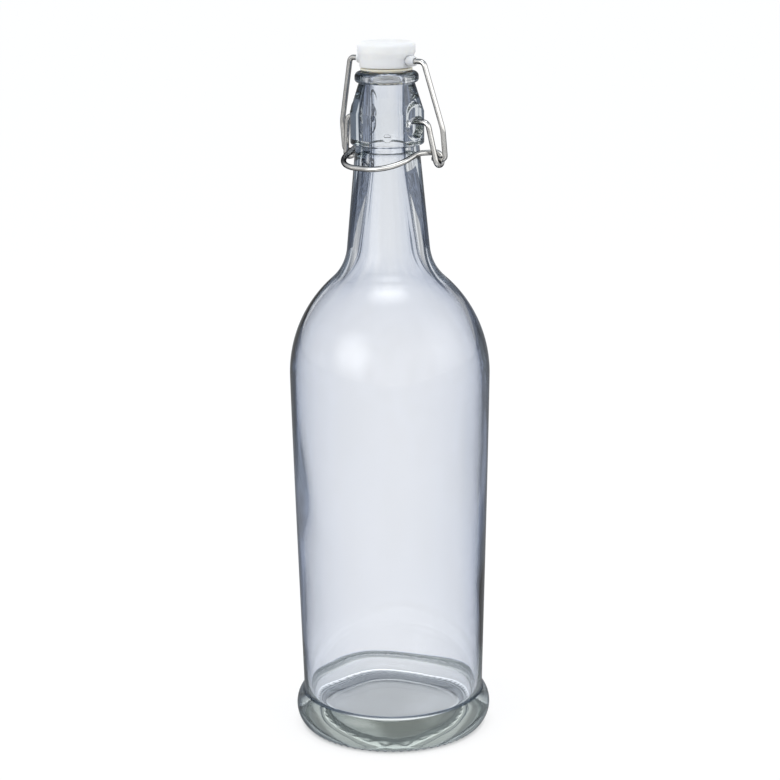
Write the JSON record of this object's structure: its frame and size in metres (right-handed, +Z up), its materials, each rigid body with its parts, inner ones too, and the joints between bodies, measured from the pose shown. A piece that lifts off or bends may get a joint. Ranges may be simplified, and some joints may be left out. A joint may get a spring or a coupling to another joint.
{
  "type": "swing-top bottle",
  "caption": "Clear glass bottle with a flared foot and a slim neck, closed by a plastic stopper with a soft seal, a bail wire and a lever wire.",
  "frame": {"origin": "centre of the face that the bottle stands on", "axes": "+Z up along the bottle's axis, the wires turn about axes along X, and the lever's loop lies towards -Y"},
  "size_m": [0.0891, 0.089, 0.3112],
  "materials": {
    "clear_glass": "gloss",
    "stopper_plastic": "satin, milky white",
    "seal_rubber": "matt, off-white",
    "steel_wire": "drawn wire"
  },
  "bodies": {
    "bottle": {"glass_bottle": "clear_glass"},
    "lever": {"lever_wire": "steel_wire"},
    "bail": {"bail_wire": "steel_wire"},
    "closure": {"stopper": "stopper_plastic", "seal": "seal_rubber"}
  },
  "joints": [
    {"name": "lever_hinge", "type": "hinge", "parent": "bottle", "child": "lever", "pos_m": [0, 0, 0.2778], "axis": [-1, 0, 0], "range_deg": [0, 180]},
    {"name": "bail_hinge", "type": "hinge", "parent": "lever", "child": "bail", "pos_m": [0, 0.0048, 0.2618], "axis": [-1, 0, 0], "range_deg": [-112, 0]},
    {"name": "stopper_hinge", "type": "hinge", "parent": "bail", "child": "closure", "pos_m": [0, 0, 0.3035], "axis": [-1, 0, 0], "range_deg": [-70, 0]}
  ],
  "couplings": [
    {"joint": "bail_hinge", "follows": "lever_hinge", "ratio": -0.6163},
    {"joint": "stopper_hinge", "follows": "lever_hinge", "ratio": -0.3837}
  ]
}
